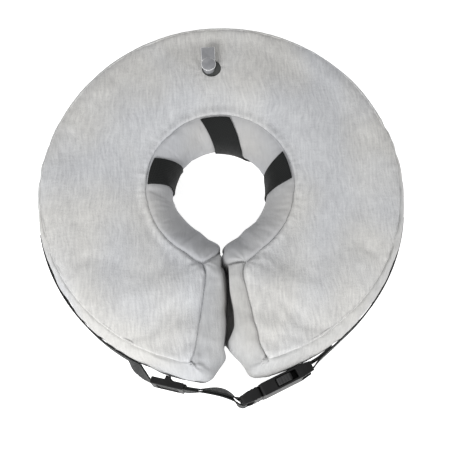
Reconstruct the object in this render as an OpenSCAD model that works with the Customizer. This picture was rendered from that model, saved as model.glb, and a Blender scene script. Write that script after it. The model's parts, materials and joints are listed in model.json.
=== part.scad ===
// Inflatable protective collar for a dog or cat: a C-shaped ring of plush fabric round an
// air bladder, closed under the neck by a webbing strap with a side-release buckle.
// It lies on its back panel. The ring's axis is Z, the slit points to -Y and the valve to +Y.

/* [Ring] */
// Outer diameter of the blown-up ring, at mid height
ring_od = 330; // [320:1:336]
// Diameter of the seams between the outer gusset and the panels
outer_seam_d = 317; // [311:1:319]
// Diameter of the seams between the neck gusset and the panels
neck_seam_d = 133; // [130:1:136]
// Diameter of the neck opening, at mid height
neck_opening_d = 87; // [84:1:92]
// Height of the lower seams over the ground
low_seam_z = 9; // [8:0.5:10]
// Distance between the lower and the upper seams
seam_gap = 62; // [60:1:64]
// Rise of the front panel over its seams
front_crown = 8; // [7:0.5:9]
// Angle from the slit to each lobe's end seam
end_angle = 10.5; // [10:0.5:12]

/* [Skins] */
// Thickness of the plush fabric with its backing
skin_t = 2; // [1.5:0.1:2.2]
// Thickness of the bladder's film
film_t = 1.2; // [0.8:0.1:1.4]
// Gap between the cover and the bladder, where the zip's slider runs
skin_gap = 3; // [2.8:0.1:3.2]

/* [Webbing] */
// Width of the webbing
web_w = 25; // [24:0.5:25]
// Thickness of the webbing
web_t = 1.3; // [1.1:0.1:1.4]
// Height of the closing strap's middle line over the ground
strap_z = 30; // [29:0.5:31]
// Length of the tri-glide along the strap
glide_l = 28; // [26:1:29]

/* [Buckle] */
// Length of the closed buckle
buckle_l = 67; // [67:1:69]
// Width of the buckle, along the webbing's width
buckle_w = 34; // [33.5:0.5:34.5]
// Thickness of the buckle
buckle_t = 11; // [10.8:0.1:11.4]
// Wall of the socket
socket_wall = 1.8; // [1.6:0.1:1.9]

/* [Valve] */
// Diameter of the opening in the front panel
valve_opening_d = 18; // [17:0.5:19]
// Outer diameter of the stem
stem_d = 11; // [10.5:0.5:11.5]
// Diameter of the air passage
stem_bore = 7.4; // [7.2:0.1:7.6]
// Diameter of the plug's disc
plug_d = 13.4; // [13:0.1:14]
// Distance from the plug's middle to the fold of its tether
tether_reach = 18; // [17.5:0.5:18.5]

/* [Zip] */
// Arc of the outer gusset that the zip takes up, in degrees
zip_arc = 110; // [90:1:120]
// Width of one zip tape
tape_w = 12; // [11:0.5:13]
// Length of the pull tab
pull_l = 22; // [18:1:24]

/* [Hidden] */

$fn = 128;
PLUSH = [0.74, 0.74, 0.75];
WEBBING = [0.13, 0.13, 0.13];
BLACK_PLASTIC = [0.19, 0.2, 0.2];
CLEAR_PVC = [0.75, 0.78, 0.8, 0.6];
FILM = [0.82, 0.85, 0.88, 0.7];
ZIP_GREY = [0.55, 0.55, 0.56];
ZIP_METAL = [0.62, 0.62, 0.63];

big = 400;                       // longer than anything on the collar
seam_play = 0.15;                // how far each skin stays from its seam line
slit_gap = 0.4;                  // from the slit's plane to each lobe

// Seam lines of the ring's section, as radius and height
ring_r = ring_od / 2;
outer_r = outer_seam_d / 2;
neck_r = neck_seam_d / 2;
opening_r = neck_opening_d / 2;
high_seam_z = low_seam_z + seam_gap;
half_gap = seam_gap / 2;
mid_z = low_seam_z + half_gap;
tube_r = (outer_r + neck_r) / 2;
tube_half = (outer_r - neck_r) / 2;
back_crown = low_seam_z + 3;     // the back panel would bulge this far, and the ground flattens it

// Radius of an arc over a chord, from half the chord and the rise
function arc_radius(half_chord, rise) = (half_chord * half_chord + rise * rise) / (2 * rise);

outer_arc = arc_radius(half_gap, ring_r - outer_r);
neck_arc = arc_radius(half_gap, neck_r - opening_r);
front_arc = arc_radius(tube_half, front_crown);
back_arc = arc_radius(tube_half, back_crown);
front_z = high_seam_z + front_crown;
ring_start = -90 + end_angle;
ring_sweep = 360 - 2 * end_angle;
bladder_in = skin_t + skin_gap;

// Each lobe's end swells towards the slit
lobe_rise = 26;                  // how far it swells past the end seam
lobe_half = 39.5;                // half its height at the end seam
lobe_arc = arc_radius(lobe_half, lobe_rise);
lobe_corner_r = 25;              // outer corner, seen from above
lobe_corner_y = 139;
neck_corner_r = 8.6;             // corner at the neck, seen from above
neck_corner_y = 53;
end_play = 0.1;                  // each side of the end seam
end_turn = 0.15;                 // the same on the ring's side, in degrees
cross_seam_r = 63.5;             // where the neck gusset meets the outer gusset in the slit

// Valve, in the front panel
valve_x = -5;
valve_y = 115;
flange_d = 30;
flange_t = 1;
flange_z = front_z - bladder_in - film_t - 1.8 - flange_t;
stem_top_z = front_z + 0.5;
stem_low_z = 62;
plug_t = 1.6;
tether_w = 12.8;
tether_t = 0.75;

// Collar loops: where each meets the upper seam and how far it leans, in degrees
loop_play = 0.3;
loop_angles = [77.4, 155.4, 7.8];
loop_leans = [-21, -14.5, -12.4];

// Closing strap
strap_r = ring_r + 0.3;          // its inner face where it is sewn to the gusset
strap_mid_r = strap_r + web_t / 2;
strap_low_z = strap_z - web_w / 2;
left_leaves = 244;               // where the strap leaves the ring, seen from above
left_sewn_to = 190;
right_leaves = -52.8;
right_sewn_to = -10;
glide_start = [-66, -160.5];
layer_gap = 0.2;                 // from the strap's middle line to each of its two layers
layer_y = layer_gap + web_t / 2;

// Buckle, closed, seen from above
buckle_at = [39.3, -169.8];
buckle_turn = 23.2;
bar_r = 2;
bar_x = 30.8;                    // each webbing bar from the buckle's middle
mouth_x = -15;                   // the socket's mouth
window_x = -0.5;
window_end_x = 19;
slot_w = 26;
wrap_r = bar_r + 0.1 + web_t / 2;
arm_root_x = mouth_x - 0.1;

// A point on the buckle's middle line, seen from above
function on_buckle(along) =
    buckle_at + along * [cos(buckle_turn), sin(buckle_turn)];

plug_bar = on_buckle(-bar_x);
socket_bar = on_buckle(bar_x);
glide_run = plug_bar - glide_start;
glide_turn = atan2(glide_run[1], glide_run[0]);
glide_reach = norm(glide_run);
right_leave_point = strap_mid_r * [cos(right_leaves), sin(right_leaves)];
right_run = right_leave_point - socket_bar;
right_turn = atan2(right_run[1], right_run[0]);
right_reach = norm(right_run);

// Tri-glide
glide_bar_r = 1.6;
glide_side = 3;                  // rail over and under the webbing
glide_out = 2.4;                 // thickness of the outer bars
glide_mid = glide_l / 2;
glide_web_y = layer_gap + web_t + 0.25;
glide_bar_y = layer_gap + web_t + 0.15 + glide_bar_r;

// Zip, in the outer gusset opposite the slit
zip_start = 90 - zip_arc / 2;
zip_gap_half = 5.5;              // from the zip's middle to each strip of the gusset
tape_in = skin_t + 0.1;
tape_t = 0.8;
coil_gap_half = 0.5;
coil_w = 1.9;
coil_in = 0.4;
coil_t = 1.6;
coil_start = zip_start + 2;
coil_sweep = zip_arc - 4;
slider_turn = zip_start + 5;     // where the slider stands, zip closed
slider_half = 2.1;               // half the slider, in degrees
slider_plate_t = 1.3;
slider_half_w = 4.2;
pull_bar_r = 0.6;
pull_bar_x = ring_r + 3.2;
pull_t = 1.2;

// ---------------------------------------------------------------- the ring's section
// A bulge is the part of a disc past its seam chord. inset makes the disc smaller, for the
// inner face of a skin.

module outer_bulge(inset) {
    intersection() {
        translate([ring_r - outer_arc, mid_z]) circle(outer_arc - inset);
        translate([outer_r + seam_play, low_seam_z + inset]) square([20, seam_gap - 2 * inset]);
    }
}

module neck_bulge(inset) {
    intersection() {
        translate([opening_r + neck_arc, mid_z]) circle(neck_arc - inset);
        translate([0, low_seam_z + inset]) square([neck_r - seam_play, seam_gap - 2 * inset]);
    }
}

module front_bulge(inset) {
    intersection() {
        translate([tube_r, front_z - front_arc]) circle(front_arc - inset);
        translate([neck_r + inset, high_seam_z + seam_play])
            square([2 * (tube_half - inset), front_crown * 2]);
    }
}

module back_bulge(inset) {
    intersection() {
        translate([tube_r, low_seam_z - back_crown + back_arc]) circle(back_arc - inset);
        translate([neck_r + inset, inset])
            square([2 * (tube_half - inset), low_seam_z - seam_play - inset]);
    }
}

// The whole section, filled, as the bladder takes it
module tube_section(inset) {
    translate([opening_r + neck_arc, mid_z]) circle(neck_arc - inset);
    body_section(inset, neck_r - 11.5 + inset);
}

// The section outside a given radius, bounded by the front, back and outer arcs
module body_section(inset, from) {
    intersection() {
        translate([tube_r, front_z - front_arc]) circle(front_arc - inset);
        translate([tube_r, low_seam_z - back_crown + back_arc]) circle(back_arc - inset);
        translate([ring_r - outer_arc, mid_z]) circle(outer_arc - inset);
        translate([from, inset]) square([120, 100]);
    }
}

module outer_skin() {
    difference() {
        outer_bulge(0);
        outer_bulge(skin_t);
        translate([outer_r, low_seam_z]) square([seam_play * 2, seam_gap]);
    }
}

module neck_skin() {
    difference() {
        neck_bulge(0);
        neck_bulge(skin_t);
    }
}

module front_skin() {
    difference() {
        front_bulge(0);
        front_bulge(skin_t);
    }
}

module back_skin() {
    difference() {
        back_bulge(0);
        back_bulge(skin_t);
    }
}

// A section swept round the ring, between two directions
module swept(from, sweep) {
    rotate_extrude(angle = sweep, start = from) children();
}

// ---------------------------------------------------------------- the lobes' ends
// Drawn for the right lobe with the end seam's plane at Y = 0 and the slit towards -Y, then
// turned into place. The left one is its mirror image.

module in_place(side) {
    mirror([side < 0 ? 1 : 0, 0, 0]) rotate([0, 0, ring_start]) children();
}

// The lens that narrows the lobe towards the slit
module lobe_lens(inset) {
    translate([20, lobe_arc - lobe_rise, mid_z])
        rotate([0, 90, 0]) cylinder(h = 180, r = lobe_arc - inset);
}

module towards_slit(back) {
    translate([0, back, 0]) rotate([90, 0, 0]) linear_extrude(lobe_rise + back + 6) children();
}

// What lies on the lobe's side of the slit, with the outer corner rounded
module outer_outline(inset) {
    corner_x = slit_gap + lobe_corner_r;
    rotate([0, 0, -ring_start])
        linear_extrude(100) {
            translate([slit_gap + inset, -lobe_corner_y]) square([120, 120]);
            translate([corner_x, -200]) square([120, 120]);
            translate([corner_x, -lobe_corner_y]) circle(lobe_corner_r - inset);
        }
}

module neck_outline(inset) {
    corner_x = slit_gap + neck_corner_r;
    rotate([0, 0, -ring_start])
        linear_extrude(100) {
            translate([slit_gap + inset, -neck_corner_y - 60]) square([120, 60]);
            translate([corner_x, -100]) square([120, 100]);
            translate([corner_x, -neck_corner_y]) circle(neck_corner_r - inset);
        }
}

module outer_end(inset, back, from) {
    intersection() {
        towards_slit(back) body_section(inset, from);
        lobe_lens(inset);
        outer_outline(inset);
    }
}

module neck_end(inset, back, to) {
    intersection() {
        towards_slit(back)
            intersection() {
                translate([opening_r + neck_arc, mid_z]) circle(neck_arc - inset);
                square([to, 100]);
            }
        lobe_lens(inset);
        neck_outline(inset);
    }
}

// The lobe's end from the cross seam outwards
module outer_end_skin(side) {
    in_place(side)
        difference() {
            outer_end(0, -end_play, cross_seam_r + seam_play);
            outer_end(skin_t, 1, cross_seam_r - 3);
        }
}

// The lobe's end from the cross seam to the neck
module neck_end_skin(side) {
    in_place(side)
        difference() {
            neck_end(0, -end_play, cross_seam_r - seam_play);
            neck_end(skin_t, 1, cross_seam_r + 3);
        }
}

// A band inside the skin that carries it across the end seam
module across_seam(side, half_turn) {
    mirror([side < 0 ? 1 : 0, 0, 0])
        swept(ring_start - half_turn, 2 * half_turn)
            intersection() {
                children();
                translate([0, mid_z - 20]) square([big, 40]);
            }
}

module outer_join(side) {
    across_seam(side, 0.8)
        difference() {
            outer_bulge(skin_t * 0.2);
            outer_bulge(skin_t * 0.8);
        }
}

module neck_join(side) {
    across_seam(side, 2)
        difference() {
            neck_bulge(skin_t * 0.2);
            neck_bulge(skin_t * 0.8);
        }
}

// ---------------------------------------------------------------- cover

module top_panel() {
    color(PLUSH)
        difference() {
            swept(ring_start + end_turn, ring_sweep - 2 * end_turn) front_skin();
            translate([valve_x, valve_y, high_seam_z]) cylinder(h = 20, d = valve_opening_d);
        }
}

module bottom_panel() {
    color(PLUSH) swept(ring_start + end_turn, ring_sweep - 2 * end_turn) back_skin();
}

module neck_gusset() {
    color(PLUSH) {
        swept(ring_start + end_turn, ring_sweep - 2 * end_turn) neck_skin();
        for (side = [-1, 1]) {
            neck_end_skin(side);
            neck_join(side);
        }
    }
}

module outer_gusset_left() {
    from = zip_start + zip_arc + 0.1;
    color(PLUSH) {
        swept(from, ring_start + ring_sweep - end_turn - from) outer_skin();
        outer_end_skin(-1);
        outer_join(-1);
    }
}

module outer_gusset_right() {
    color(PLUSH) {
        swept(ring_start + end_turn, zip_start - 0.1 - ring_start - end_turn) outer_skin();
        outer_end_skin(1);
        outer_join(1);
    }
}

// ---------------------------------------------------------------- zip

module zip_strip(low, high) {
    intersection() {
        outer_skin();
        translate([0, low]) square([big, high - low]);
    }
}

module zip_gusset_upper() {
    color(PLUSH) swept(zip_start, zip_arc) zip_strip(mid_z + zip_gap_half, high_seam_z);
}

module zip_gusset_lower() {
    color(PLUSH) swept(zip_start, zip_arc) zip_strip(low_seam_z, mid_z - zip_gap_half);
}

// side is 1 for the upper tape and -1 for the lower
module zip_tape(side) {
    near = coil_gap_half + 0.1;
    low = side > 0 ? mid_z + near : mid_z - near - tape_w;
    color(ZIP_GREY)
        swept(zip_start, zip_arc)
            intersection() {
                difference() {
                    outer_bulge(tape_in);
                    outer_bulge(tape_in + tape_t);
                }
                translate([0, low]) square([big, tape_w]);
            }
}

module zip_coil(side) {
    low = side > 0 ? mid_z + coil_gap_half : mid_z - coil_gap_half - coil_w;
    color(ZIP_GREY)
        swept(coil_start, coil_sweep)
            translate([ring_r - coil_in - coil_t, low]) square([coil_t, coil_w]);
}

module zip_tape_upper() {
    zip_tape(1);
}

module zip_tape_lower() {
    zip_tape(-1);
}

module zip_coil_upper() {
    zip_coil(1);
}

module zip_coil_lower() {
    zip_coil(-1);
}

module zip_end_stops() {
    color(ZIP_METAL)
        for (from = [zip_start + 0.8, zip_start + zip_arc - 1.6])
            swept(from, 0.8)
                translate([ring_r - coil_in - coil_t, mid_z - 3]) square([coil_t, 6]);
}

// Section of the slider: a plate over the coils with turned-in edges, and one under the tapes
module slider_section() {
    under = ring_r - tape_in - tape_t - 0.3;
    translate([ring_r, mid_z - slider_half_w]) square([slider_plate_t, 2 * slider_half_w]);
    for (low = [mid_z - slider_half_w, mid_z + slider_half_w - 1.2])
        translate([ring_r - 1.8, low]) square([2, 1.2]);
    translate([under - 1.1, mid_z - slider_half_w]) square([1.1, 2 * slider_half_w]);
}

module zip_slider() {
    under = ring_r - tape_in - tape_t - 0.4;
    color(ZIP_METAL) {
        swept(slider_turn - slider_half, 2 * slider_half) slider_section();
        swept(slider_turn - slider_half, 0.9)
            translate([under - 0.5, mid_z - 0.35]) square([ring_r + 0.5 - under + 0.5, 0.7]);
        rotate([0, 0, slider_turn]) {
            for (low = [mid_z - 3.4, mid_z + 2.5])
                translate([ring_r + slider_plate_t - 0.3, -1.2, low])
                    cube([pull_bar_x + pull_bar_r + 0.3 - ring_r - slider_plate_t, 2.4, 0.9]);
            translate([pull_bar_x, 0, mid_z - 3]) cylinder(h = 6, r = pull_bar_r);
        }
    }
}

module zip_pull() {
    eye_r = 1.5;
    color(ZIP_METAL)
        rotate([0, 0, slider_turn])
            translate([pull_bar_x, 0, mid_z])
                difference() {
                    union() {
                        cylinder(h = 4.4, r = eye_r, center = true);
                        translate([-pull_t / 2, 0, -2.2]) cube([pull_t, 5, 4.4]);
                        translate([0, pull_l - 8, 0])
                            rotate([0, 90, 0]) cylinder(h = pull_t, r = 3.4, center = true);
                        translate([-pull_t / 2, 4, -2.8]) cube([pull_t, pull_l - 12, 5.6]);
                    }
                    cylinder(h = 6, r = pull_bar_r + 0.08, center = true);
                    translate([0, pull_l - 8, 0])
                        rotate([0, 90, 0]) cylinder(h = 3, r = 1.6, center = true);
                }
}

// ---------------------------------------------------------------- bladder and valve

module bladder_solid(inset) {
    swept(ring_start, ring_sweep) tube_section(inset);
    for (side = [-1, 1])
        in_place(side) outer_end(inset + 0.3, 2, neck_r - 8 + inset);
}

module bladder() {
    color(FILM)
        difference() {
            bladder_solid(bladder_in);
            bladder_solid(bladder_in + film_t);
            translate([valve_x, valve_y, high_seam_z - 10]) cylinder(h = 20, d = valve_opening_d + 2);
        }
}

module at_valve(z) {
    translate([valve_x, valve_y, z]) children();
}

module valve_flange() {
    color(CLEAR_PVC)
        at_valve(flange_z)
            difference() {
                cylinder(h = flange_t, d = flange_d);
                translate([0, 0, -1]) cylinder(h = 3, d = stem_d + 5);
            }
}

// The soft cone between the flange and the stem, which folds through when the valve is raised
module valve_skirt() {
    low = stem_low_z + 0.2;
    high = flange_z - 0.1;
    low_r = stem_d / 2 + 0.4;
    high_r = flange_d / 2 - 3;
    color(CLEAR_PVC)
        at_valve(low)
            difference() {
                cylinder(h = high - low, r1 = low_r + 0.8, r2 = high_r + 0.8);
                translate([0, 0, -0.01]) cylinder(h = high - low + 0.02, r1 = low_r, r2 = high_r);
            }
}

module valve_stem() {
    lead = stem_d / 2 - 0.8;
    color(CLEAR_PVC) {
        at_valve(stem_low_z)
            difference() {
                cylinder(h = stem_top_z - stem_low_z, d = stem_d);
                translate([0, 0, -1]) cylinder(h = 30, d = stem_bore);
            }
        at_valve(stem_top_z - tether_t)
            translate([-tether_w / 2, lead, 0]) cube([tether_w, tether_reach - lead, tether_t]);
    }
}

module valve_check_flap() {
    color(CLEAR_PVC) at_valve(stem_low_z - 0.7) cylinder(h = 0.6, d = stem_bore + 1.8);
}

module valve_plug() {
    color(CLEAR_PVC)
        at_valve(stem_top_z) {
            translate([0, 0, 0.1]) cylinder(h = plug_t, d = plug_d);
            translate([0, 0, -3.1]) cylinder(h = 3.3, d1 = 4.6, d2 = stem_bore - 0.3);
            translate([-tether_w / 2, plug_d / 2 - 2.6, 0.4])
                cube([tether_w, tether_reach - plug_d / 2 + 2.6, 0.8]);
        }
}

// ---------------------------------------------------------------- collar loops

module collar_loop(index) {
    color(WEBBING)
        intersection() {
            swept(loop_angles[index] - 40, 80)
                difference() {
                    intersection() {
                        translate([opening_r + neck_arc, mid_z])
                            circle(neck_arc + loop_play + web_t);
                        translate([0, low_seam_z + 0.5]) square([neck_r - 0.3, seam_gap - 1]);
                    }
                    translate([opening_r + neck_arc, mid_z]) circle(neck_arc + loop_play);
                }
            translate([0, 0, mid_z])
                rotate([0, 0, loop_angles[index]])
                    rotate([loop_leans[index], 0, 0])
                        translate([20, -web_w / 2, -60]) cube([60, web_w, 120]);
        }
}

module collar_loop_top() {
    collar_loop(0);
}

module collar_loop_left() {
    collar_loop(1);
}

module collar_loop_right() {
    collar_loop(2);
}

// ---------------------------------------------------------------- closing strap

// Webbing along a line of points, seen from above. Each bend is a slightly thicker round.
module webbing_path(points, first_bend = 0, last_bend = 0) {
    for (i = [1 : len(points) - 1]) {
        run = points[i] - points[i - 1];
        translate(points[i - 1])
            rotate([0, 0, atan2(run[1], run[0])])
                translate([0, -web_t / 2]) square([norm(run), web_t]);
    }
    for (i = [first_bend : len(points) - 1 - last_bend])
        translate(points[i]) circle(d = web_t + 0.14);
}

// Webbing laid round a bar, the open side towards -X
module wrap(bar, turn) {
    translate(bar)
        rotate([0, 0, turn])
            difference() {
                circle(wrap_r + web_t / 2);
                circle(wrap_r - web_t / 2);
                translate([-big, -big / 2]) square([big, big]);
            }
}

module sewn_strap(from, sweep) {
    swept(from, sweep) translate([strap_r, strap_low_z]) square([web_t, web_w]);
}

module strap_left() {
    leaves_at = strap_mid_r * [cos(left_leaves), sin(left_leaves)];
    split_x = glide_reach - 30;
    color(WEBBING) {
        sewn_strap(left_sewn_to, left_leaves - left_sewn_to);
        translate([0, 0, strap_low_z])
            linear_extrude(web_w) {
                webbing_path([leaves_at, glide_start]);
                translate(glide_start)
                    rotate([0, 0, glide_turn]) {
                        webbing_path([
                            [0, 0], [3, -layer_y], [split_x, -layer_y], [glide_reach, -wrap_r]
                        ], 1);
                        wrap([glide_reach, 0], 0);
                        webbing_path([
                            [glide_reach, wrap_r], [split_x, layer_y], [glide_mid, layer_y]
                        ], 0, 1);
                        translate([glide_mid, glide_bar_y - 0.05])
                            difference() {
                                circle(glide_bar_r + 0.2 + web_t);
                                circle(glide_bar_r + 0.15);
                            }
                    }
            }
    }
}

module strap_right() {
    split_x = 20;
    color(WEBBING) {
        sewn_strap(right_leaves, right_sewn_to - right_leaves);
        translate([0, 0, strap_low_z])
            linear_extrude(web_w)
                translate(socket_bar)
                    rotate([0, 0, right_turn]) {
                        wrap([0, 0], 180);
                        webbing_path([[0, -wrap_r], [split_x, -0.75], [right_reach, 0]]);
                        webbing_path([[0, wrap_r], [split_x + 4, 0.3]], 0, 1);
                    }
    }
}

module strap_slider() {
    color(BLACK_PLASTIC)
        translate([glide_start[0], glide_start[1], strap_z])
            rotate([0, 0, glide_turn]) {
                for (low = [web_w / 2 + 0.5, -web_w / 2 - 0.5 - glide_side])
                    translate([0, -glide_web_y - glide_out, low])
                        cube([glide_l, glide_out + 2 * glide_web_y, glide_side]);
                for (from = [0, glide_l - 4.5])
                    translate([from, -glide_web_y - glide_out, -web_w / 2 - 1])
                        cube([4.5, glide_out, web_w + 2]);
                for (low = [web_w / 2 + 0.5, -web_w / 2 - 0.5 - glide_side])
                    translate([glide_mid - 2.4, 0, low])
                        cube([4.8, glide_bar_y + glide_bar_r, glide_side]);
                translate([glide_mid, glide_bar_y, 0])
                    cylinder(h = web_w + 2, r = glide_bar_r, center = true);
            }
}

// ---------------------------------------------------------------- buckle
// Drawn along X at the origin, the socket's bar at +X, the webbing's width along Z

module at_buckle() {
    translate([buckle_at[0], buckle_at[1], strap_z]) rotate([0, 0, buckle_turn]) children();
}

// A block with its four edges along Y rounded
module block(from, to, width, thick, round_r) {
    length = to - from;
    translate([(from + to) / 2, thick / 2, 0])
        rotate([90, 0, 0])
            linear_extrude(thick) {
                square([length - 2 * round_r, width], center = true);
                square([length, width - 2 * round_r], center = true);
                for (x = [-1, 1], y = [-1, 1])
                    translate([x * (length / 2 - round_r), y * (width / 2 - round_r)])
                        circle(round_r);
            }
}

module bar(x) {
    translate([x, 0, 0]) cylinder(h = slot_w + 1, r = bar_r, center = true);
}

module buckle_socket() {
    cavity_w = buckle_w - 2 * socket_wall;
    cavity_t = buckle_t - 2 * socket_wall;
    color(BLACK_PLASTIC)
        at_buckle() {
            difference() {
                block(mouth_x, buckle_l / 2, buckle_w, buckle_t, 2.5);
                translate([mouth_x - 1, -cavity_t / 2, -cavity_w / 2])
                    cube([window_end_x - mouth_x + 1, cavity_t, cavity_w]);
                translate([window_x, -cavity_t / 2, -buckle_w])
                    cube([window_end_x - window_x, cavity_t, 2 * buckle_w]);
                translate([bar_x - bar_r - 6, -buckle_t, -slot_w / 2]) cube([20, 2 * buckle_t, slot_w]);
            }
            bar(bar_x);
        }
}

module buckle_plug() {
    base_t = buckle_t - 1;
    base_w = buckle_w - 2;
    color(BLACK_PLASTIC)
        at_buckle() {
            difference() {
                block(-buckle_l / 2, mouth_x - 0.4, base_w, base_t, 2.5);
                translate([-bar_x + bar_r + 6 - 20, -buckle_t, -slot_w / 2])
                    cube([20, 2 * buckle_t, slot_w]);
            }
            bar(-bar_x);
            translate([mouth_x - 1.4, -1.5, -2]) cube([24, 3, 4]);
        }
}

// One arm with its press pad, above the buckle's middle
module arm() {
    translate([0, 3.2, 0])
        rotate([90, 0, 0])
            linear_extrude(6.4)
                polygon([
                    [arm_root_x, 9.3], [8, 10.5], [14, 12.6], [14, 14.6], [12, 16.6],
                    [2, 16.6], [0.2, 15.6], [0.2, 12.8], [arm_root_x, 11.9]
                ]);
}

module buckle_arm_upper() {
    color(BLACK_PLASTIC) at_buckle() arm();
}

module buckle_arm_lower() {
    color(BLACK_PLASTIC) at_buckle() mirror([0, 0, 1]) arm();
}

top_panel();
bottom_panel();
neck_gusset();
outer_gusset_left();
outer_gusset_right();
zip_gusset_upper();
zip_gusset_lower();
zip_tape_upper();
zip_tape_lower();
zip_coil_upper();
zip_coil_lower();
zip_end_stops();
zip_slider();
zip_pull();
bladder();
valve_flange();
valve_skirt();
valve_stem();
valve_check_flap();
valve_plug();
collar_loop_top();
collar_loop_left();
collar_loop_right();
strap_left();
strap_right();
strap_slider();
buckle_socket();
buckle_plug();
buckle_arm_upper();
buckle_arm_lower();
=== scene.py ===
# %% [markdown]
# # An inflatable recovery collar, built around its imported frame
#
# The collar is a ring of short plush fabric blown up from inside by a vinyl bladder. It lies
# flat, its slit towards us. The CAD part fixes every size and every moving body. This script
# gives each of those bodies the look it has in real life.

# %% Load the frame and keep its box
import json
import math

import bmesh
import bpy
import numpy as np
from mathutils import Matrix, Vector, kdtree, noise
from mathutils.bvhtree import BVHTree


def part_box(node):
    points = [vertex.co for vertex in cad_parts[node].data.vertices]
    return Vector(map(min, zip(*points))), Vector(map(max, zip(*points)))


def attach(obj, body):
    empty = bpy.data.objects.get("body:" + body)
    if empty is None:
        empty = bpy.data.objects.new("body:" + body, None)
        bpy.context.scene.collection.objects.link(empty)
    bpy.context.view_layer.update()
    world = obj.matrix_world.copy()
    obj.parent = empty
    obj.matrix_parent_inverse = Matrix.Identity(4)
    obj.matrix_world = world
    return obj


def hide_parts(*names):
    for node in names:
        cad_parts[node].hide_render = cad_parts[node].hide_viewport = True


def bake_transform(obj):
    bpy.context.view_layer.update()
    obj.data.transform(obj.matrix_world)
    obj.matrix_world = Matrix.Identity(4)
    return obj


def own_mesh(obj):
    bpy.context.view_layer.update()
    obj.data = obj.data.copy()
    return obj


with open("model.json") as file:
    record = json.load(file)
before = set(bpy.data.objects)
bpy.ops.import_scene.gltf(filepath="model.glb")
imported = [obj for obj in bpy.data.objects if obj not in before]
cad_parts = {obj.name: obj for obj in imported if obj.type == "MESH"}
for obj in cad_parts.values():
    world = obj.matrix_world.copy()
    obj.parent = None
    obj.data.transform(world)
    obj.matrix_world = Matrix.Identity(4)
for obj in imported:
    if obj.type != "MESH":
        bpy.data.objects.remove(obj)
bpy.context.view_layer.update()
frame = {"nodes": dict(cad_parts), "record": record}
record = frame["record"]
MM = 0.001

# %% [markdown]
# ## Sizes that the whole cover shares
#
# A sewn cover is two C-shaped panels joined by gussets. Where the panels' seams run decides
# everything else, so their radii and heights are read once from the boxes of the CAD nodes.
# Typing them in again would work until the part changes, and then nothing would meet.

# %% Read the ring's sizes from the CAD nodes
def corner(node, axis, high=True):
    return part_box(node)[1 if high else 0][axis] / MM


OUTER_SEAM = corner("top_panel", 1)
TOP_Z = corner("top_panel", 2)
HIGH_SEAM = corner("zip_gusset_upper", 2)
LOW_SEAM = corner("zip_gusset_lower", 2, high=False)
RING = corner("zip_gusset_upper", 1)
NECK_SEAM = corner("neck_gusset", 1)
MID_Z = (HIGH_SEAM + LOW_SEAM) / 2
HALF_GAP = (HIGH_SEAM - LOW_SEAM) / 2
END_TURN = 10.4          # each end seam stands this many degrees from the slit
C_SWEEP = 339            # degrees round the C from one end seam to the other
print(f"outer seam {OUTER_SEAM:.1f}, neck seam {NECK_SEAM:.1f}, ring {RING:.1f} mm")


# %% [markdown]
# ## The cover's outline
#
# Seen from above, each panel is a C. Its inner corners flare a little where the neck gusset
# is sewn in, and its neck seam is slightly longer front to back. These small departures from
# a plain ring are what make the cover look cut and sewn by hand, so they are functions of
# their own and both panels and all gussets are drawn from them.

# %% Where the seams run
def smooth(value, low, high):
    t = min(max((value - low) / (high - low), 0.0), 1.0)
    return t * t * (3 - 2 * t)


def end_turn(radius):
    """Degrees between the slit's middle and the end seam at a radius."""
    flare = 5.2 * math.exp(-((radius - 69) / 7.5) ** 2)
    return END_TURN + flare + 0.7 * smooth(radius, 145, 158)


def neck_radius(share):
    """Radius of the neck seam. share runs 0 to 1 from the right end seam round to the left."""
    turn = math.radians(-90 + end_turn(70) + share * (360 - 2 * end_turn(70)))
    near_end = min(share, 1 - share) * C_SWEEP
    oval = 65.0 * math.hypot(math.cos(turn), 1.05 * math.sin(turn))
    return oval + 4.0 * (1 - smooth(near_end, 0, 16))


def plan_point(share, across):
    """A point of a panel in plan. across runs 0 to 1 from the neck seam to the outer seam."""
    inner = neck_radius(share)
    radius = inner + across * (OUTER_SEAM - inner)
    turn = math.radians(-90 + end_turn(radius) + share * (360 - 2 * end_turn(radius)))
    return Vector((radius * math.cos(turn), radius * math.sin(turn), 0.0))


print("neck corner", [round(c, 1) for c in plan_point(0, 0)[:2]])

# %% [markdown]
# ## A grid bent into a panel
#
# Blender can make the panels by spinning an arc, by lofting, or by bending a flat grid. The
# grid wins here, because its rows can be drawn close together next to a seam, where cloth
# puckers, and wide apart in the middle, where it is smooth.

# %% Bend a grid
STATIONS = 240           # round the ring
ACROSS = 26              # from seam to seam on a panel
ROWS = 20                # from panel to panel on a gusset
FAN = 8                  # extra stations round each corner of the outline


def crowd(share):
    """Spreads even steps so that they crowd towards both ends, where the seams are."""
    return share - 0.62 * math.sin(2 * math.pi * share) / (2 * math.pi)


def bent_grid(bm, x_steps, y_steps, place, label):
    """Adds a grid whose points place(i, j) puts, with label(i, j) as each face's part."""
    made = bmesh.ops.create_grid(bm, x_segments=x_steps, y_segments=y_steps, size=0.5)
    where = {}
    for vert in made["verts"]:
        i = round((vert.co.x + 0.5) * x_steps)
        j = round((vert.co.y + 0.5) * y_steps)
        where[vert] = (i, j)
    faces = {face for vert in made["verts"] for face in vert.link_faces}
    for face in faces:
        i = min(where[v][0] for v in face.verts)
        j = min(where[v][1] for v in face.verts)
        face.material_index = label(i, j)
    for vert, (i, j) in where.items():
        vert.co = place(i, j)


FRONT, BACK, NECK, RIGHT, LEFT, ZIP_UP, ZIP_LOW, ZIP_GAP = range(8)


def crown(share, across, height, end_width):
    """How far a panel swells off its seams' plane, none at all at any seam."""
    bulge = 1 - (2 * across - 1) ** 2
    near_end = min(share, 1 - share) * C_SWEEP * math.radians(1) * (66 + across * 92)
    fall = 1 - (1 - min(near_end / end_width, 1.0)) ** 2.2
    return height * bulge ** 0.8 * fall


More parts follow.
